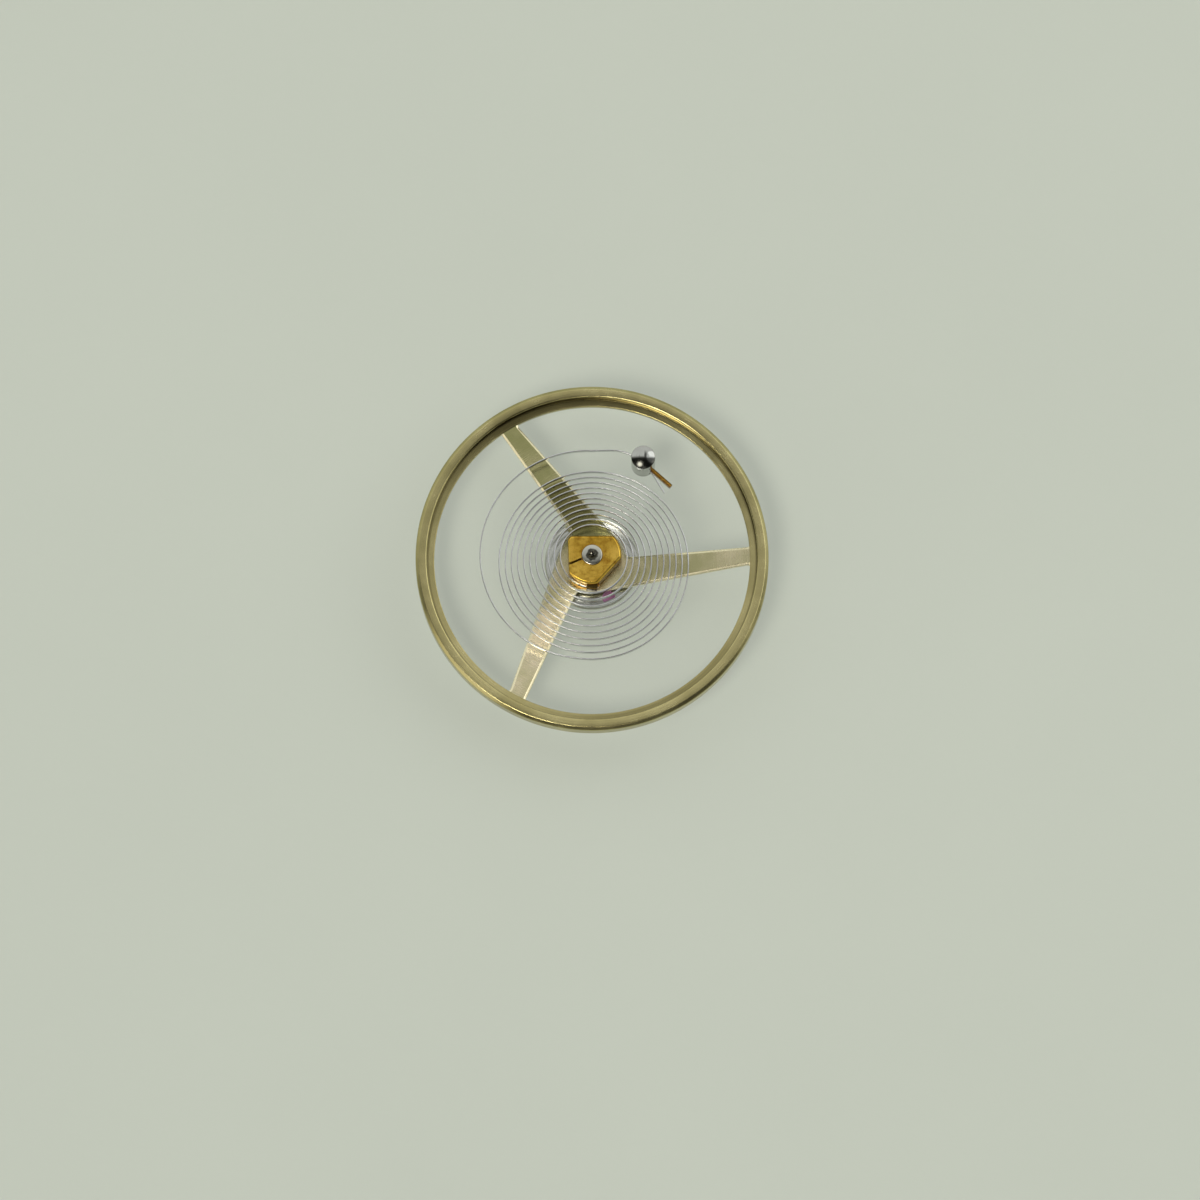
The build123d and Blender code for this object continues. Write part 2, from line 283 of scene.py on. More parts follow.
# The painted shade starts at the first and is full at the second of two heights or radii. A patch of painted
# shade on the step has its direction in degrees, how far along it the shade starts and is full, and its
# greatest share.
rim_shade_heights = (rim_top - 0.02, rim_top - 0.045)
rim_shade_outer_radii = (rim_wall_radius + 0.02, rim_wall_radius + 0.01)
rim_shade_inner_radii = (rim_wall_radius - 0.07, rim_wall_radius - 0.015)
step_radii = (rim_inner_radius - 0.01, rim_inner_radius + 0.07)
step_painted_shades = [(107, 2.9, 4.3, 0.9), (292, 3.0, 4.5, 0.7)]


def rounded_line(corners, steps=7):
    """Rounds every (x, y, radius) corner of a closed line with an arc that touches both of its sides.

    The arc's centre lies on the corner's bisector, radius / sin(half angle) away. Its places swing evenly
    from the one touching place, radius / tan(half angle) from the corner, to the other.
    """
    corners = np.array(corners, float)
    place, radius = corners[:, :2], corners[:, 2:]
    back = np.roll(place, 1, axis=0) - place
    ahead = np.roll(place, -1, axis=0) - place
    back /= np.linalg.norm(back, axis=1, keepdims=True)
    ahead /= np.linalg.norm(ahead, axis=1, keepdims=True)
    half = np.arccos(np.clip((back * ahead).sum(axis=1, keepdims=True), -1, 1)) / 2
    bisector = back + ahead
    bisector /= np.maximum(np.linalg.norm(bisector, axis=1, keepdims=True), 1e-9)
    centre = place + bisector * radius / np.sin(half)
    first = place + back * radius / np.tan(half) - centre
    last = place + ahead * radius / np.tan(half) - centre
    swing = np.maximum(pi - 2 * half, 1e-6)[:, None]
    share = np.linspace(0, 1, steps)[None, :, None]
    arcs = first[:, None] * np.sin((1 - share) * swing) + last[:, None] * np.sin(share * swing)
    return (centre[:, None] + arcs / np.sin(swing)).reshape(-1, 2)


def turned(line, steps):
    """Turns (radius, height) places about the staff: a row for each place, a column for each angle."""
    angle = np.linspace(0, 2 * pi, steps, endpoint=False)
    radius, height = line[:, :1], line[:, 1:]
    return np.stack([radius * np.cos(angle), radius * np.sin(angle), height + 0 * angle], -1)


def make_piece(name, sheets, material, nodes, body, sharp=30):
    """Joins sheets of places into one mesh, merges what meets, turns its faces outwards and dresses it.

    A sheet is a grid of places in rows and columns, and the words that say how it closes: rows, columns, or
    caps for a flat face over its first and its last column.
    """
    places, faces, count = [], [], 0
    for grid, closed in sheets:
        rows, columns = grid.shape[:2]
        index = np.arange(rows * columns).reshape(rows, columns) + count
        count += rows * columns
        places.append(grid.reshape(-1, 3))
        if "caps" in closed:
            faces += [index[:, 0].tolist(), index[::-1, -1].tolist()]
        if "rows" in closed:
            index = np.vstack([index, index[:1]])
        if "columns" in closed:
            index = np.hstack([index, index[:, :1]])
        quads = np.stack([index[:-1, :-1], index[1:, :-1], index[1:, 1:], index[:-1, 1:]], -1)
        faces += quads.reshape(-1, 4).tolist()
    mesh = bpy.data.meshes.new(name)
    mesh.from_pydata((np.concatenate(places) * mm).tolist(), [], faces)
    shape = bmesh.new()
    shape.from_mesh(mesh)
    bmesh.ops.remove_doubles(shape, verts=shape.verts, dist=1e-5 * mm)
    bmesh.ops.dissolve_degenerate(shape, edges=shape.edges, dist=1e-6 * mm)
    bmesh.ops.recalc_face_normals(shape, faces=shape.faces)
    if shape.calc_volume(signed=True) < 0:
        bmesh.ops.reverse_faces(shape, faces=shape.faces)
    shape.to_mesh(mesh)
    shape.free()
    mesh.shade_smooth()
    mesh.set_sharp_from_angle(angle=radians(sharp))
    mesh.materials.append(material)
    piece = bpy.data.objects.new(name, mesh)
    bpy.context.collection.objects.link(piece)
    if nodes:
        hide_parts(*nodes)
    if body:
        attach(piece, body)
    return piece


def lathe_marks_group():
    """Builds the marks of a cutter on turned metal: rings about the upright axis through the origin.

    The rings are noise read at (radius, height) and, in its third direction, at a slow noise over the
    surface, so that they run along the cut but start and stop. A still slower noise makes them strong and
    faint. Reach is the distance from the axis.
    """
    group = bpy.data.node_groups.new("lathe_marks", "ShaderNodeTree")
    group.interface.new_socket("Place", in_out="INPUT", socket_type="NodeSocketVector")
    group.interface.new_socket("Marks per mm", in_out="INPUT", socket_type="NodeSocketFloat")
    for name in ("Rings", "Patches", "Reach"):
        group.interface.new_socket(name, in_out="OUTPUT", socket_type="NodeSocketFloat")
    given = add_node(group, "NodeGroupInput").outputs
    result = add_node(group, "NodeGroupOutput").inputs
    parts = add_node(group, "ShaderNodeSeparateXYZ", Vector=given["Place"]).outputs
    flat = add_node(group, "ShaderNodeCombineXYZ", X=parts["X"], Y=parts["Y"])
    reach = measure(group, "LENGTH", flat.outputs[0])
    chatter = noise(group, given["Place"], scale=2.2, detail=2, roughness=0.5)
    slide = reckon(group, "MULTIPLY", chatter, 0.16)
    ring = add_node(group, "ShaderNodeCombineXYZ", X=reach, Y=parts["Z"], Z=slide)
    rings = noise(group, ring.outputs[0], scale=given["Marks per mm"], detail=3, roughness=0.75)
    patches = noise(group, given["Place"], scale=0.9, detail=3, roughness=0.55)
    strength = fade(group, patches, 0.3, 0.7, To_Min=0.45)
    feed(result["Rings"], reckon(group, "MULTIPLY", rings, strength))
    feed(result["Patches"], patches)
    feed(result["Reach"], reach)
    return group


lathe_marks = lathe_marks_group()


def turned_metal(name, colour, dark_colour, roughness, marks_per_mm, depth, centre=(0, 0)):
    """A metal with lathe marks: rings in its height and its gloss, and a slow drift between two colours.

    Returns what new_material does, and the reach from the axis through the centre.
    """
    material, tree, shader, place = new_material(name)
    feed(tree.nodes["millimetres"].inputs["Location"], (-centre[0], -centre[1], 0))
    group = add_node(tree, "ShaderNodeGroup", node_tree=lathe_marks, Place=place, Marks_per_mm=marks_per_mm)
    marks = group.outputs
    drift = colour_ramp(tree, marks["Patches"], [(0.35, dark_colour), (0.62, colour)])
    feed(shader.inputs["Base Color"], drift)
    gloss = fade(tree, marks["Rings"], 0.2, 0.7, To_Min=roughness[0], To_Max=roughness[1])
    feed(shader.inputs["Roughness"], gloss)
    raise_surface(shader, marks["Rings"], depth)
    shader.inputs["Metallic"].default_value = 1.0
    return material, tree, shader, place, marks["Reach"]


def paint_over(shader, share, colour, blend="MIX"):
    """Mixes a colour by a share over what feeds a shader's base colour so far."""
    base = shader.inputs["Base Color"]
    feed(base, mix_colours(base.id_data, share, base.links[0].from_socket, colour, blend))


# The wall inside the rim has painted shade: below the top and inside the middle of the rim the gilding is
# painted dark. Towards two sides the painted shade spreads over the step as well.
rim_metal, tree, shader, place, reach = turned_metal(
    "rim_gilt_bronze", rim_gold, rim_shade, roughness=(0.17, 0.33), marks_per_mm=21, depth=0.0030
)
height = add_node(tree, "ShaderNodeSeparateXYZ", Vector=place).outputs["Z"]
on_step = fade(tree, reach, *step_radii)
painted_rim_shade_share = fade(tree, reach, *rim_shade_inner_radii)
for direction, start, full, most in step_painted_shades:
    along = measure(tree, "DOT_PRODUCT", place, way_to(direction, 0))
    step_shade_share = reckon(tree, "MULTIPLY", fade(tree, along, start, full, To_Max=most), on_step)
    painted_rim_shade_share = reckon(tree, "MAXIMUM", painted_rim_shade_share, step_shade_share)
painted_rim_shade_share = reckon(tree, "MULTIPLY", painted_rim_shade_share, fade(tree, reach, *rim_shade_outer_radii))
painted_rim_shade_share = reckon(tree, "MULTIPLY", painted_rim_shade_share, fade(tree, height, *rim_shade_heights))
paint_over(shader, painted_rim_shade_share, rim_painted_shade)
rim_sheets = [(turned(rounded_line(rim_corners), steps=720), "rows columns")]
make_piece("wheel_rim", rim_sheets, rim_metal, ["balance_wheel"], "balance")

# Arms and hub of the balance wheel. They are one thin plate with the rim: three arms with one radial and one
# slanted edge each, bevelled along the top, and a round hub that is riveted to the staff.
arm_count = 3
arm_angle = 5.0
arm_top = 1.44
arm_bevel = 0.068
arm_bevel_drop = 0.041
arm_tip_width = 0.5
arm_edge_round = 0.012
arm_bevel_land = 0.012
hub_radius = 0.95
hub_bore_radius = 0.385
hub_fillet = 0.18
rim_fillet = 0.14
window_radius = rim_inner_radius + arm_bevel
plate_reach = rim_inner_radius + 0.02
flare_steps = 7
edge_steps = 10
fillet_steps = 9
hub_steps = 15
flare_share = 0.03
arm_gold = (0.62, 0.56, 0.37, 1)
arm_olive = (0.46, 0.44, 0.24, 1)
# The next two are a painted shadow of the hairspring's coils and a painted highlight on the bevels.
arm_painted_coil_shadow = (0.50, 0.50, 0.32, 1)
arm_bevel_painted_highlight = (0.93, 0.86, 0.60, 1)
# Each of these starts at the first and is full at the second of two places: across the wheel for the painted
# light, out from the staff and across again for the painted coil shadow, and down from the top for the
# highlight.
painted_light_side = (4.0, -4.0)
coil_shade_radii = (2.52, 2.46)
coil_shadow_side = (0.3, 0.9)
bevel_highlight_heights = (arm_top - 0.003, arm_top - 0.008)


def disc_place(radius, angle):
    """Places on circles about the staff, from a radius and an angle in degrees."""
    angle = np.radians(angle)
    return np.stack([radius * np.cos(angle), radius * np.sin(angle)], -1)


def arc(centre, radius, first, last, steps):
    """Places on an arc about a centre, between two angles in degrees."""
    return np.array(centre) + disc_place(radius, np.linspace(first, last, steps))


def straight(first, last, steps):
    """Places on a straight edge, without its ends."""
    share = np.linspace(0, 1, steps + 2)[1:-1, None]
    return np.array(first) * (1 - share) + np.array(last) * share


tip_turn = degrees(asin(arm_tip_width / window_radius))
slant_end = 360 / arm_count - tip_turn
slant_root = slant_end - degrees(acos(hub_radius / window_radius))
slant_out = disc_place(1.0, slant_root)
slant_way = disc_place(1.0, slant_root + 90)
flare_reach = window_radius - rim_fillet
flare_x = sqrt(flare_reach**2 - rim_fillet**2)
flare_far = sqrt(flare_reach**2 - (hub_radius + rim_fillet) ** 2)
flare_angle = degrees(atan2(rim_fillet, flare_x))
far_flare_angle = slant_root + degrees(atan2(flare_far, hub_radius + rim_fillet))
fillet_x = sqrt((hub_radius + hub_fillet) ** 2 - hub_fillet**2)
fillet_angle = degrees(atan2(hub_fillet, fillet_x))


def window_side(inset):
    """The edge of the window between two arms, moved into the metal by an inset.

    It follows a flare, the radial edge, the hub, the slanted edge and the other flare. A flare is an arc of
    radius rim_fillet + inset about a centre at flare_reach from the staff. It starts on the circle of
    plate_reach, inside the rim, at the angle that the law of cosines gives for these three lengths.
    """
    flare, hub = rim_fillet + inset, hub_radius - inset
    spread = degrees(acos((plate_reach**2 - flare_reach**2 - flare**2) / (2 * flare_reach * flare)))
    far_centre = slant_out * (hub_radius + rim_fillet) + slant_way * flare_far
    return np.concatenate([
        arc((flare_x, rim_fillet), flare, flare_angle - spread, -90, flare_steps),
        straight((flare_x, -inset), (fillet_x, -inset), edge_steps),
        arc((fillet_x, hub_fillet), hub_fillet + inset, -90, fillet_angle - 180, fillet_steps),
        arc((0, 0), hub, fillet_angle, slant_root, hub_steps),
        straight(slant_out * hub, slant_out * hub + slant_way * flare_far, edge_steps),
        arc(far_centre, flare, slant_root + 180, far_flare_angle + spread, flare_steps),
    ])


# The other side of each strip of plate is the middle of the arms and the bore of the hub.
root_middle = (slant_root - 360 / arm_count) / 2
arm_middles = []
for turn in (0, 360 / arm_count):
    tip = disc_place(plate_reach, turn - tip_turn / 2)
    root = disc_place(hub_bore_radius, turn + root_middle)
    end = tip * (1 - flare_share) + root * flare_share
    flare_middle = tip + (end - tip) * np.linspace(0, 1, flare_steps)[:, None]
    arm_middles.append(np.concatenate([flare_middle, straight(end, root, edge_steps)]))
bore_edge = arc((0, 0), hub_bore_radius, root_middle, root_middle + 360 / arm_count, fillet_steps + hub_steps)
plate_middle = np.concatenate([arm_middles[0], bore_edge, arm_middles[1][::-1]])
plate_section = rounded_line(
    [
        (arm_bevel + arm_bevel_land, arm_top, 0),
        (arm_bevel, arm_top, arm_edge_round),
        (0, arm_top - arm_bevel_drop, arm_edge_round),
        (0, wheel_foot, arm_edge_round),
        (arm_bevel + arm_bevel_land, wheel_foot, 0),
    ],
    steps=4,
)


def lifted(places, height):
    """Sets flat places at a height."""
    return np.concatenate([places, np.full(places.shape[:-1] + (1,), height)], -1)


plate_rows = [lifted(plate_middle, arm_top)]
plate_rows += [lifted(window_side(inset), height) for inset, height in plate_section]
plate_rows += [lifted(plate_middle, wheel_foot)]
plate_third = np.stack(plate_rows)
bore_wall = np.stack([lifted(bore_edge, arm_top), lifted(bore_edge, wheel_foot)])


def about_staff(grid, angle):
    """Turns a grid of places about the staff."""
    turn = np.eye(3)
    turn[:2, :2] = disc_place(1.0, [angle, angle + 90])
    return grid @ turn


plate_sheets = []
for arm in range(arm_count):
    turn = arm_angle + arm * 360 / arm_count
    plate_sheets += [(about_staff(plate_third, turn), "caps"), (about_staff(bore_wall, turn), "")]

# The gilding has painted light: it is painted darker on one side of the wheel and lighter on the other. On
# the darker side a painted shadow of the coils lies under the hairspring, and every bevel has a painted
# highlight.
arm_metal, tree, shader, place, reach = turned_metal(
    "arm_gilt_bronze", arm_gold, arm_olive, roughness=(0.22, 0.34), marks_per_mm=40, depth=0.0028
)
parts = add_node(tree, "ShaderNodeSeparateXYZ", Vector=place).outputs
painted_side_light = colour_ramp(tree, fade(tree, parts["Y"], *painted_light_side), [
    (0.20, (0.83, 0.85, 0.68, 1)),
    (0.48, (1.08, 1.07, 1.05, 1)),
    (0.54, (1.08, 1.07, 1.05, 1)),
    (0.62, (1.60, 1.54, 1.66, 1)),
])
painted_coil_shadow_share = reckon(
    tree, "MULTIPLY", fade(tree, reach, *coil_shade_radii), fade(tree, parts["Y"], *coil_shadow_side)
)
paint_over(shader, 1.0, mix_colours(tree, painted_coil_shadow_share, painted_side_light, arm_painted_coil_shadow), "MULTIPLY")
paint_over(shader, fade(tree, parts["Z"], *bevel_highlight_heights), arm_bevel_painted_highlight)
make_piece("wheel_arms", plate_sheets, arm_metal, ["balance_wheel"], "balance")

# Balance staff. It is turned from hardened steel and burnished: pivots on trumpet cones, a seat for the
# roller, a wide flange under the wheel with the rivet over it, and a shoulder for the collet.
pivot_radius = 0.055
pivot_length = 0.24
pivot_round = 0.02
cone_radius = 0.14
cone_height = 0.2
roller_seat_radius = 0.22
flange_foot = 1.1
flange_radius = 0.6
wheel_seat_radius = 0.38
rivet_radius = 0.43
rivet_top = 1.51
collet_seat_radius = 0.29
shoulder_top = 2.13
staff_top = 2.57
staff_edge = 0.022
# The steel's two colours are tinted warm, a painted reflection of the gilt wheel round it.
staff_steel = (0.60, 0.595, 0.53, 1)
staff_shade = (0.48, 0.475, 0.42, 1)
# The next colour is a painted dark reflection round the foot of the upper cone.
painted_dark_reflection = (0.09, 0.085, 0.07, 1)
cone_reflection_wander = 0.16
cone_reflection_radii = (0.265, 0.235)
cone_reflection_heights = (shoulder_top - 0.03, shoulder_top - 0.01)

trumpet_radius = ((cone_radius - pivot_radius) ** 2 + cone_height**2) / (2 * (cone_radius - pivot_radius))
trumpet = [
    (pivot_radius + trumpet_radius * (1 - cos(swing)), trumpet_radius * sin(swing))
    for swing in np.linspace(0, asin(cone_height / trumpet_radius), 10)
]
lower_trumpet = [(radius, pivot_length + rise, 0) for radius, rise in trumpet]
upper_trumpet = [(radius, staff_top - pivot_length - rise, 0) for radius, rise in trumpet[::-1]]
staff_line = rounded_line(
    [(0, 0, 0), (pivot_radius, 0, pivot_round)]
    + lower_trumpet
    + [
        (roller_seat_radius, pivot_length + cone_height, staff_edge),
        (roller_seat_radius, flange_foot, 0),
        (flange_radius, flange_foot, staff_edge),
        (flange_radius, wheel_foot, 0.005),
        (wheel_seat_radius, wheel_foot, 0),
        (wheel_seat_radius, arm_top, 0),
        (rivet_radius, arm_top, 0.004),
        (wheel_seat_radius, rivet_top, 0.02),
        (collet_seat_radius, rivet_top, 0),
        (collet_seat_radius, shoulder_top, staff_edge),
    ]
    + upper_trumpet
    + [(pivot_radius, staff_top, pivot_round), (0, staff_top, 0)],
    steps=5,
)
# A painted dark reflection lies round the foot of the upper cone, in lobes: the edge of that patch wanders
# with a noise.
staff_metal, tree, shader, place, reach = turned_metal(
    "staff_burnished_steel", staff_steel, staff_shade, roughness=(0.08, 0.2), marks_per_mm=40, depth=0.0008
)
parts = add_node(tree, "ShaderNodeSeparateXYZ", Vector=place).outputs
flat = add_node(tree, "ShaderNodeCombineXYZ", X=parts["X"], Y=parts["Y"]).outputs[0]
lobes = noise(tree, flat, scale=5.5, detail=2, roughness=0.6)
cone_reflection_share = fade(tree, reckon(tree, "MULTIPLY_ADD", lobes, cone_reflection_wander, reach), *cone_reflection_radii)
paint_over(shader, reckon(tree, "MULTIPLY", cone_reflection_share, fade(tree, parts["Z"], *cone_reflection_heights)), painted_dark_reflection)
staff_sheets = [(turned(staff_line, steps=160), "columns")]
make_piece(
    "balance_staff_burnished", staff_sheets, staff_metal, ["balance_staff"], "balance"
)

# Double roller. The wide table carries the impulse jewel, and the small safety roller under it has a crescent
# cut where the lever's guard pin passes. Both are one piece of polished steel, pressed on the staff.
table_radius = 1.35
table_foot = 0.94
table_bevel = 0.04
safety_radius = 0.46
safety_foot = 0.64
safety_top = table_foot + 0.02
crescent_radius = 0.16
jewel_angle = -65.0
jewel_circle_radius = 1.12
roller_steel = (0.74, 0.75, 0.71, 1)
roller_shade = (0.62, 0.63, 0.58, 1)

table_line = rounded_line(
    [
        (roller_seat_radius, flange_foot, 0.004),
        (roller_seat_radius, table_foot, 0),
        (table_radius - table_bevel, table_foot, 0.008),
        (table_radius, table_foot + table_bevel, 0.008),
        (table_radius, flange_foot - table_bevel, 0.008),
        (table_radius - table_bevel, flange_foot, 0.008),
    ],
    steps=4,
)
safety_line = rounded_line(
    [
        (roller_seat_radius, safety_top, 0),
        (roller_seat_radius, safety_foot, 0.01),
        (safety_radius, safety_foot, 0.02),
        (safety_radius, safety_top, 0),
    ],
    steps=5,
)
# The crescent is a circle about a place on the safety roller's edge. Along a line from the staff that makes
# the angle a with its middle, it starts at radius * cos(a) - sqrt(crescent radius^2 - (radius * sin(a))^2).
safety_sheet = turned(safety_line, steps=360)
safety_angle = np.linspace(0, 2 * pi, 360, endpoint=False) - radians(jewel_angle)
crescent_reach = safety_radius * np.cos(safety_angle)
crescent_half = crescent_radius**2 - (safety_radius * np.sin(safety_angle)) ** 2
in_crescent = (crescent_half > 0) & (crescent_reach > 0)
crescent_start = np.where(in_crescent, crescent_reach - np.sqrt(np.maximum(crescent_half, 0)), 1.0)
safety_reach = np.linalg.norm(safety_sheet[..., :2], axis=-1)
safety_sheet[..., :2] *= np.minimum(1, crescent_start / safety_reach)[..., None]
roller_metal, *_ = turned_metal(
    "roller_polished_steel", roller_steel, roller_shade, roughness=(0.14, 0.26), marks_per_mm=30, depth=0.0008
)
roller_sheets = [(turned(table_line, steps=360), "rows columns"), (safety_sheet, "rows columns")]
make_piece(
    "double_roller_polished", roller_sheets, roller_metal, ["double_roller"], "balance"
)

# Impulse jewel. A polished ruby pin with a flat on its outer side and bevelled ends, set in the table's hole
# and held there by a bead of shellac under the table.
jewel_radius = 0.19
jewel_flat = 0.07
jewel_top = 1.12
jewel_foot = 0.48
jewel_bevel = 0.02
jewel_round = 0.012
shellac_reach = 0.07
shellac_drop = 0.09
shellac_sunk = 0.01

flat_angle = degrees(acos(jewel_flat / jewel_radius))
flat_half = sqrt(jewel_radius**2 - jewel_flat**2)
jewel_arc = disc_place(jewel_radius, np.linspace(flat_angle + 3, 357 - flat_angle, 60))
jewel_outline = rounded_line(
    [(x, y, 0) for x, y in jewel_arc]
    + [(jewel_flat, -flat_half, jewel_round), (jewel_flat, flat_half, jewel_round)],
    steps=4,
)


def upright(outline, rows, centre, angle):
    """Carries a flat outline up through (share of its size, height) rows, and turns it about its own axis."""
    turn = disc_place(1.0, [angle, angle + 90])
    return np.stack([lifted(outline * share @ turn + centre, height) for share, height in rows])


jewel_centre = disc_place(jewel_circle_radius, jewel_angle)
bevel_share = 1 - jewel_bevel / jewel_radius
jewel_rows = [
    (0, jewel_foot),
    (bevel_share, jewel_foot),
    (1, jewel_foot + jewel_bevel),
    (1, jewel_top - jewel_bevel),
    (bevel_share, jewel_top),
    (0, jewel_top),
]
ruby, tree, shader, place = new_material("polished_ruby")
clouds = noise(tree, place, scale=5.0, detail=2, roughness=0.5)
ruby_tone = colour_ramp(tree, clouds, [(0.35, (0.66, 0.22, 0.52, 1)), (0.65, (0.80, 0.38, 0.70, 1))])
feed(shader.inputs["Base Color"], ruby_tone)
shader.inputs["Transmission Weight"].default_value = 0.6
shader.inputs["IOR"].default_value = 1.77
shader.inputs["Roughness"].default_value = 0.06
jewel_sheets = [(upright(jewel_outline, jewel_rows, jewel_centre, jewel_angle), "columns")]
make_piece("impulse_jewel_polished", jewel_sheets, ruby, ["impulse_jewel"], "balance")

# The bead is widest under the table and narrows to the jewel. For a share from 0 to 1 it stands out by its
# reach times (1 - share) squared, and lies its height times the share to the power of 0.8 below its top.
shellac_top = table_foot + shellac_sunk
shellac_height = shellac_sunk + shellac_drop
shellac_rows = [(0, shellac_top)]
shellac_rows += [
    (1 + shellac_reach / jewel_radius * (1 - share) ** 2, shellac_top - shellac_height * share**0.8)
    for share in np.linspace(0, 1, 9)
]
shellac_rows += [(0, shellac_top - shellac_height)]
shellac, tree, shader, place = new_material("amber_shellac")
flow = noise(tree, place, scale=9.0, detail=2, roughness=0.5)
shellac_tone = colour_ramp(tree, flow, [(0.3, (0.16, 0.055, 0.012, 1)), (0.7, (0.34, 0.14, 0.035, 1))])
feed(shader.inputs["Base Color"], shellac_tone)
raise_surface(shader, flow, depth=0.006, strength=0.5)
shader.inputs["Roughness"].default_value = 0.15
shellac_sheets = [(upright(jewel_outline, shellac_rows, jewel_centre, jewel_angle), "columns")]
make_piece("jewel_shellac", shellac_sheets, shellac, [], "balance")

# Collet. A slit ring of brass pressed on the staff's shoulder, with three flats milled on it and a lug at one
# side that is drilled across for the hairspring's inner end.
collet_radius = 0.83
collet_foot = 1.54
collet_top = 2.08
collet_flats = [(0.57, 90.0), (0.67, 182.0), (0.66, -42.0)]
collet_corner = 0.09
collet_bevel = 0.05
collet_bevel_land = 0.02
collet_bore_radius = 0.292
bore_edge_share = 1.04
bore_edge_height = 0.012
slit_angle = 200.0
slit_half_width = 0.03
collet_gold = (0.86, 0.57, 0.10, 1)
collet_shade = (0.52, 0.30, 0.03, 1)


def even_places(line, count):
    """Spreads places evenly along an open line."""
    run = np.concatenate([[0], np.cumsum(np.linalg.norm(np.diff(line, axis=0), axis=1))])
    there = np.linspace(0, run[-1], count)
    return np.stack([np.interp(there, run, line[:, side]) for side in range(line.shape[1])], -1)


# The outline is the milled shape drawn in by the corner's radius, and then let out again by as much: each way
# out finds the farthest place of the drawn-in shape and goes the radius further.
core_angle = np.linspace(0, 360, 2881)[:-1]
core_radius = np.full(core_angle.shape, collet_radius - collet_corner)
for flat, angle in collet_flats:
    facing = np.cos(np.radians(core_angle - angle))
    core_radius = np.minimum(core_radius, (flat - collet_corner) / np.maximum(facing, 0.05))
core = disc_place(core_radius, core_angle)
out_ways = disc_place(1.0, slit_angle + np.linspace(0, 360, 721))
farthest = core[np.argmax(out_ways @ core.T, axis=1)]
collet_outline = farthest + out_ways * collet_corner

# The slit cuts the outline and the bore along two lines beside its own direction.
slit_way, slit_side = disc_place(1.0, slit_angle), disc_place(1.0, slit_angle + 90)


def cut_by_slit(outline, count):
    """Opens a closed outline at the slit and spreads places evenly from one side of it round to the other."""
    dense = even_places(np.concatenate([outline, outline[:1]]), 8000)[:-1]
    kept = (np.abs(dense @ slit_side) >= slit_half_width) | (dense @ slit_way < 0)
    first = np.flatnonzero(kept & ~np.roll(kept, 1))[0]
    dense, kept = np.roll(dense, -first, axis=0), np.roll(kept, -first)
    return even_places(dense[kept], count)


collet_edge = cut_by_slit(collet_outline, 360)
collet_bore = cut_by_slit(disc_place(collet_bore_radius, np.linspace(0, 360, 721)), 360)
edge_way = np.gradient(collet_edge, axis=0)
edge_in = np.stack([-edge_way[:, 1], edge_way[:, 0]], -1) / np.linalg.norm(edge_way, axis=1, keepdims=True)
collet_section = rounded_line(
    [
        (collet_bevel + collet_bevel_land, collet_foot, 0),
        (0, collet_foot, 0.008),
        (0, collet_top - collet_bevel, 0.025),
        (collet_bevel, collet_top, 0.025),
        (collet_bevel + collet_bevel_land, collet_top, 0),
    ],
    steps=4,
)
collet_rows = [lifted(collet_edge + edge_in * inset, height) for inset, height in collet_section]
collet_rows += [
    lifted(collet_bore * bore_edge_share, collet_top),
    lifted(collet_bore, collet_top - bore_edge_height),
    lifted(collet_bore, collet_foot + bore_edge_height),
    lifted(collet_bore * bore_edge_share, collet_foot),
]
# The brass is stained brown in blotches, from the oil of years.
collet_metal, tree, shader, place, _ = turned_metal(
    "collet_golden_brass", collet_gold, collet_shade, roughness=(0.16, 0.28), marks_per_mm=12, depth=0.0016
)
stain = colour_ramp(tree, noise(tree, place, scale=4.2, detail=4, roughness=0.62), [
    (0.36, (0.64, 0.53, 0.40, 1)),
    (0.50, (0.95, 0.94, 0.92, 1)),
    (0.62, (1.12, 1.12, 1.25, 1)),
])
paint_over(shader, 1.0, stain, "MULTIPLY")
collet_sheets = [(np.stack(collet_rows), "rows caps")]
make_piece("collet_slit_ring", collet_sheets, collet_metal, ["collet"], "balance")

# Lug of the collet. It stands out of the ring's wall at half its height, and its cross hole takes the blade
# and the taper pin.
spring_start_angle = -100.0
spring_inner_radius = 0.86
spring_height = 1.8
hole_radius = 0.1
blade_offset = 0.04989
lug_inner_reach = 0.34
lug_outer_reach = spring_inner_radius - blade_offset + hole_radius + 0.05
lug_half_height = 0.14
lug_length = 0.3
lug_edge = 0.02
# The lug's brass is painted dark brown, a painted shade: it is the collet's brass in shadow.
lug_painted_shade_brown = (0.13, 0.085, 0.022, 1)
lug_shade = (0.05, 0.033, 0.010, 1)

lug_out = disc_place(1.0, spring_start_angle)
lug_way = disc_place(1.0, spring_start_angle - 90)
hole_reach = spring_inner_radius - blade_offset
lug_outline = rounded_line(
    [
        (lug_inner_reach - hole_reach, -lug_half_height, 0.02),
        (lug_outer_reach - hole_reach, -lug_half_height, 0.05),
        (lug_outer_reach - hole_reach, lug_half_height, 0.05),
        (lug_inner_reach - hole_reach, lug_half_height, 0.02),
    ],
    steps=9,
)
lug_outline = even_places(np.concatenate([lug_outline, lug_outline[:1]]), 97)[:-1]
hole_outline = lug_outline / np.linalg.norm(lug_outline, axis=1, keepdims=True) * hole_radius


def along_hole(outline, run, origin, out, way, height):
    """Stands a flat outline across a level hole, a run along it: its x points out and its y up."""
    level = origin + outline[:, :1] * out + run * way
    return np.concatenate([level, outline[:, 1:] + height], -1)


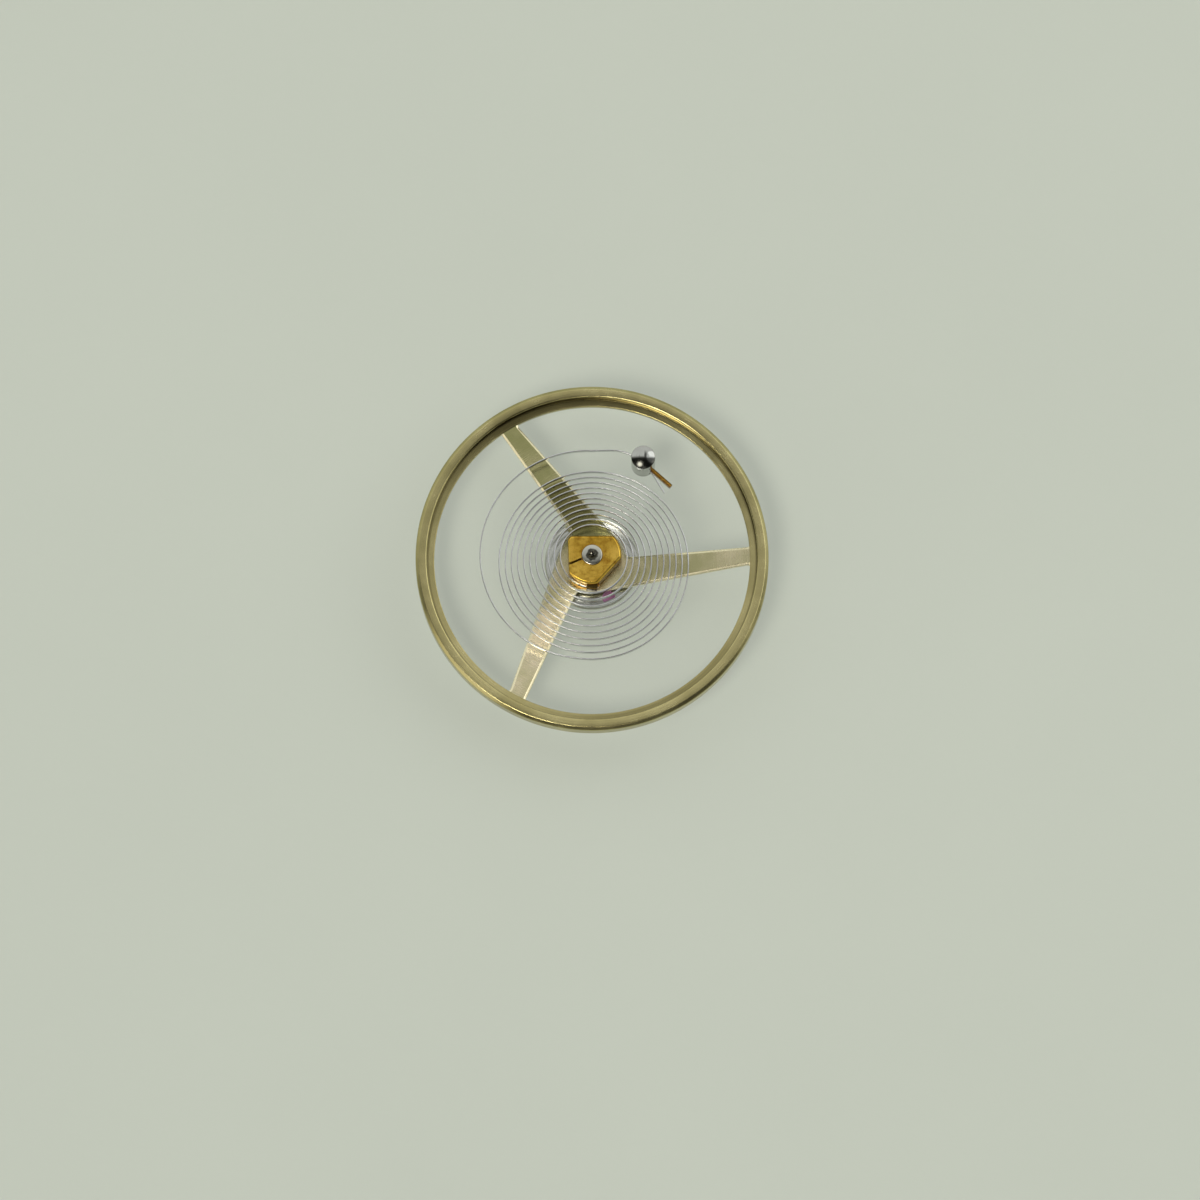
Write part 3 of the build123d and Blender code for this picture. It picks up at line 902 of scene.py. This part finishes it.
lug_scale = 1 - lug_edge / np.linalg.norm(lug_outline, axis=1, keepdims=True)
lug_stations = [
    (hole_outline, -lug_length),
    (lug_outline * lug_scale, -lug_length),
    (lug_outline, -lug_length + lug_edge),
    (lug_outline, -lug_edge),
    (lug_outline * lug_scale, 0),
    (hole_outline, 0),
]
lug_hole = lug_out * hole_reach
lug_rows = [along_hole(line, run, lug_hole, lug_out, lug_way, spring_height) for line, run in lug_stations]
lug_metal, *_ = turned_metal(
    "lug_brass_painted_shade", lug_painted_shade_brown, lug_shade, roughness=(0.22, 0.38), marks_per_mm=16, depth=0.003
)
lug_sheets = [(np.stack(lug_rows), "rows columns")]
make_piece("collet_lug", lug_sheets, lug_metal, ["collet"], "balance")

# Taper pins. One wedges the blade in the collet's lug and one in the stud. Each is drawn bronze wire, cut off
# at both ends, with a flat where it presses on the blade.
pin_radius = 0.095
pin_flat = 0.0284
pin_end_round = 0.02
pin_end_reach = 0.06
pin_long_reach = 0.7
stud_angle = 62.0
stud_circle_radius = 3.08
stud_hole_lean = 14.0
stud_centre = disc_place(stud_circle_radius, stud_angle)
stud_hole_angle = stud_angle - stud_hole_lean - 90
stud_way = disc_place(1.0, stud_hole_angle)
stud_out = disc_place(1.0, stud_hole_angle + 90)
stud_radius = 0.34

# The flat lies pin_flat from the wire's axis, so at the angle a it cuts the wire at pin_flat / cos(a).
pin_angle = np.linspace(0, 360, 96, endpoint=False)
pin_cut = pin_flat / np.maximum(np.cos(np.radians(pin_angle)), 1e-3)
pin_outline = disc_place(np.minimum(pin_radius, pin_cut), pin_angle)


def pin_rows(start, end, origin, out, way):
    """Carries the pin's outline along its hole, and draws it in to nothing at both ends."""
    stations = [(0, start), (0.55, start + 0.002), (0.9, start + 0.007), (1, start + pin_end_round)]
    stations += [(1, start + (end - start) * share) for share in np.linspace(0.1, 0.9, 17)]
    stations += [(1, end - pin_end_round), (0.92, end - 0.006), (0.6, end - 0.001), (0, end)]
    rows = [along_hole(pin_outline * share, run, origin, out, way, spring_height) for share, run in stations]
    return np.stack(rows)


pin_metal, tree, shader, place = new_material("pin_drawn_bronze")
drawing = add_node(
    tree, "ShaderNodeMapping", Vector=place, Rotation=(0, 0, radians(-stud_hole_angle)), Scale=(1.5, 45, 45)
)
lines = noise(tree, drawing.outputs["Vector"], scale=1.0, detail=3, roughness=0.6)
pin_tone = colour_ramp(tree, lines, [
    (0.30, (0.09, 0.04, 0.006, 1)),
    (0.55, (0.24, 0.12, 0.018, 1)),
    (0.75, (0.48, 0.30, 0.06, 1)),
])
feed(shader.inputs["Base Color"], pin_tone)
raise_surface(shader, lines, depth=0.002)
shader.inputs["Metallic"].default_value = 1.0
shader.inputs["Roughness"].default_value = 0.24
start, end = -lug_length - pin_end_reach, pin_end_reach
pin_sheets = [(pin_rows(start, end, lug_hole, lug_out, lug_way), "columns")]
make_piece("collet_taper_pin", pin_sheets, pin_metal, ["collet_pin"], "balance")
start, end = -stud_radius - pin_end_reach, stud_radius + pin_long_reach
pin_sheets = [(pin_rows(start, end, stud_centre, -stud_out, stud_way), "columns")]
make_piece("stud_taper_pin", pin_sheets, pin_metal, ["stud_pin"], "stud")

# Hairspring. One ribbon of pale spring alloy, rolled and polished on its faces, wound flat in eleven and a
# half turns. Its inner end is pinned in the lug, and its outer end runs straight through the stud.
blade_height = 0.14
blade_thickness = 0.035
blade_edge = 0.007
spring_pitch = 0.173
spring_regular_turns = 11
spring_end_turn = 11.47
spring_lean_share = 0.11
spring_lean_angle = -90.0
spring_bulge = 0.215
spring_bulge_turns = 0.58
spring_tail = 0.70
spring_tail_bend = 17.0
tail_steps = 24
places_per_turn = 120


def spring_places(turn):
    """The blade's middle after so many turns from its start, clockwise.

    The radius grows by the pitch each turn. All but the start leans a share of that growth towards one side,
    and past the last regular turn a half sine lets it bulge out to the stud.
    """
    angle = spring_start_angle - 360 * turn
    wound = spring_pitch * np.minimum(turn, spring_regular_turns)
    lean_to = np.where(turn <= spring_regular_turns, angle, spring_start_angle) - spring_lean_angle
    lean = wound * spring_lean_share * np.cos(np.radians(lean_to))
    past = np.maximum(turn - spring_regular_turns, 0)
    bulge = spring_bulge * np.sin(pi * past / spring_bulge_turns)
    return disc_place(spring_inner_radius + wound + lean + bulge, angle)


def eased(start, start_way, end, end_way, steps):
    """A cubic from one place and way to another, without its ends; the ways are as long as the gap."""
    share = np.linspace(0, 1, steps + 2)[1:-1, None]
    gap = np.linalg.norm(end - start)
    return (
        start * (2 * share**3 - 3 * share**2 + 1)
        + start_way * gap * (share**3 - 2 * share**2 + share)
        + end * (3 * share**2 - 2 * share**3)
        + end_way * gap * (share**3 - share**2)
    )


spring_start = lug_out * spring_inner_radius
turns = np.linspace(0, spring_end_turn, int(spring_end_turn * places_per_turn))
coil = spring_places(turns)
stud_entry = stud_centre - stud_out * blade_offset - stud_way * stud_radius
coil_way = coil[-1] - coil[-2]
run_in = eased(coil[-1], coil_way / np.linalg.norm(coil_way), stud_entry, stud_way, 24)
inner_end = spring_start - lug_way * np.linspace(lug_length, 0, 7)[:-1, None]
through = stud_entry + stud_way * np.linspace(0, 2 * stud_radius, 12)[:, None]
# The free tail is pressed away from the pin: it turns by its bend in the first quarter of its length.
tail_share = np.linspace(0, 1, tail_steps + 1)[1:]
tail_angle = stud_hole_angle - spring_tail_bend * np.clip(tail_share * 4, 0, 1)
tail = through[-1] + np.cumsum(disc_place(spring_tail / tail_steps, tail_angle), axis=0)
outer_end = np.concatenate([through, tail])
blade_line = np.concatenate([inner_end, coil, run_in, outer_end])
blade_way = np.gradient(blade_line, axis=0)
blade_way /= np.linalg.norm(blade_way, axis=1, keepdims=True)
blade_side = np.stack([blade_way[:, 1], -blade_way[:, 0]], -1)
blade_section = rounded_line(
    [
        (-blade_thickness / 2, -blade_height / 2, blade_edge),
        (blade_thickness / 2, -blade_height / 2, blade_edge),
        (blade_thickness / 2, blade_height / 2, blade_edge),
        (-blade_thickness / 2, blade_height / 2, blade_edge),
    ],
    steps=4,
)
blade_rows = [lifted(blade_line + blade_side * side, spring_height + rise) for side, rise in blade_section]

spring_metal, tree, shader, place = new_material("spring_rolled_alloy")
rolling = add_node(tree, "ShaderNodeMapping", Vector=place, Scale=(0.8, 0.8, 60))
lines = noise(tree, rolling.outputs["Vector"], scale=1.0, detail=3, roughness=0.6)
spring_tone = colour_ramp(tree, lines, [(0.35, (0.53, 0.53, 0.52, 1)), (0.65, (0.71, 0.72, 0.73, 1))])
feed(shader.inputs["Base Color"], spring_tone)
feed(shader.inputs["Roughness"], fade(tree, lines, 0.3, 0.7, To_Min=0.12, To_Max=0.26))
shader.inputs["Metallic"].default_value = 1.0
blade_sheets = [(np.stack(blade_rows), "rows caps")]
hairspring = make_piece(
    "hairspring_ribbon", blade_sheets, spring_metal, ["hairspring"], None, sharp=50
)
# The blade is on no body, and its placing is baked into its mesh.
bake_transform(hairspring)

# Stud. A short pin of polished steel with a domed top, which a screw in the balance cock clamps. A hole
# across its foot takes the outer end of the hairspring and its taper pin.
stud_foot = 1.62
stud_top = 2.68
stud_dome = 0.09
stud_foot_round = 0.03
hole_edge = 0.012
hole_sink = 0.05
mouth_half = 0.42
mouth_reach = 0.12
stud_steel = (0.50, 0.505, 0.475, 1)
stud_shade = (0.37, 0.375, 0.345, 1)
# The next colour darkens the lap's streaks and paints a dark reflection on one half of the dome.
stud_streaks_and_painted_reflection = (0.075, 0.075, 0.068, 1)
stud_dull_roughness = 0.17
# The lap's streaks start where their noise reaches the first of two values and are full at the second. They
# fade in between two radii, and the dull half with its painted reflection between two places across the dome
# and above two heights.
streak_values = (0.50, 0.60)
streak_radii = (0.21, 0.10)
painted_reflection_side = (0.02, -0.05)
dome_heights = (stud_top - stud_dome - 0.03, stud_top - stud_dome)

dome_radius = (stud_radius**2 + stud_dome**2) / (2 * stud_dome)
dome_swing = np.linspace(asin(stud_radius / dome_radius), 0, 24)
dome = [(dome_radius * sin(swing), stud_top - dome_radius * (1 - cos(swing)), 0) for swing in dome_swing]
stud_line = rounded_line(
    [(0, stud_foot, 0), (stud_radius, stud_foot, stud_foot_round)]
    + [(stud_radius, spring_height + rise, 0) for rise in np.linspace(-mouth_reach, mouth_reach, 61)]
    + [(dome[0][0], dome[0][1], 0.02)]
    + dome[1:],
    steps=4,
)
# The hole's mouths are sunk into the wall where a place lies nearer to the hole's axis than its edge. The
# columns lie closest near the mouths.
mouth_angle = radians(stud_hole_angle)
near_mouth = np.linspace(-mouth_half, mouth_half, 85)
between_mouths = np.linspace(mouth_half, pi - mouth_half, 45)[1:-1]
stud_columns = np.concatenate([near_mouth, between_mouths])
stud_columns = mouth_angle + np.concatenate([stud_columns, stud_columns + pi])
stud_columns = np.unique(np.round(np.mod(stud_columns, 2 * pi), 6))
stud_rim = stud_line[:, :1]
across = stud_rim * np.sin(stud_columns - mouth_angle)
from_hole = np.hypot(across, stud_line[:, 1:] - spring_height)
sunk = np.clip((hole_radius + hole_edge - from_hole) / hole_edge, 0, 1)
sunk = np.where(stud_rim > 0.9 * stud_radius, sunk, 0) * hole_sink
stud_reach = stud_rim - sunk
stud_grid = np.stack([
    stud_centre[0] + stud_reach * np.cos(stud_columns),
    stud_centre[1] + stud_reach * np.sin(stud_columns),
    np.broadcast_to(stud_line[:, 1:], stud_reach.shape),
], -1)
# The middle of the dome keeps dark streaks from the polishing lap: noise drawn out along one way. The half of
# the dome on the staff's side has a painted dark reflection and is a little dull.
stud_metal, tree, shader, place, reach = turned_metal(
    "stud_polished_steel",
    stud_steel,
    stud_shade,
    roughness=(0.05, 0.14),
    marks_per_mm=34,
    depth=0.0009,
    centre=stud_centre,
)
parts = add_node(tree, "ShaderNodeSeparateXYZ", Vector=place).outputs
drawn_out = add_node(tree, "ShaderNodeMapping", Vector=place, Scale=(16, 2.2, 1)).outputs["Vector"]
streaks = fade(tree, noise(tree, drawn_out, scale=1.0, detail=3, roughness=0.6), *streak_values)
lapped = reckon(tree, "MULTIPLY", streaks, fade(tree, reach, *streak_radii))
dull_painted_reflection_half = reckon(tree, "MULTIPLY", fade(tree, parts["Y"], *painted_reflection_side), fade(tree, parts["Z"], *dome_heights))
gloss = shader.inputs["Roughness"]
polish = gloss.links[0].from_socket
dulling = add_node(tree, "ShaderNodeMix", data_type="FLOAT", Factor=dull_painted_reflection_half, A=polish, B=stud_dull_roughness)
feed(gloss, dulling.outputs["Result"])
paint_over(shader, reckon(tree, "MAXIMUM", dull_painted_reflection_half, lapped), stud_streaks_and_painted_reflection)
make_piece("stud_domed", [(stud_grid, "columns")], stud_metal, ["stud"], "stud")
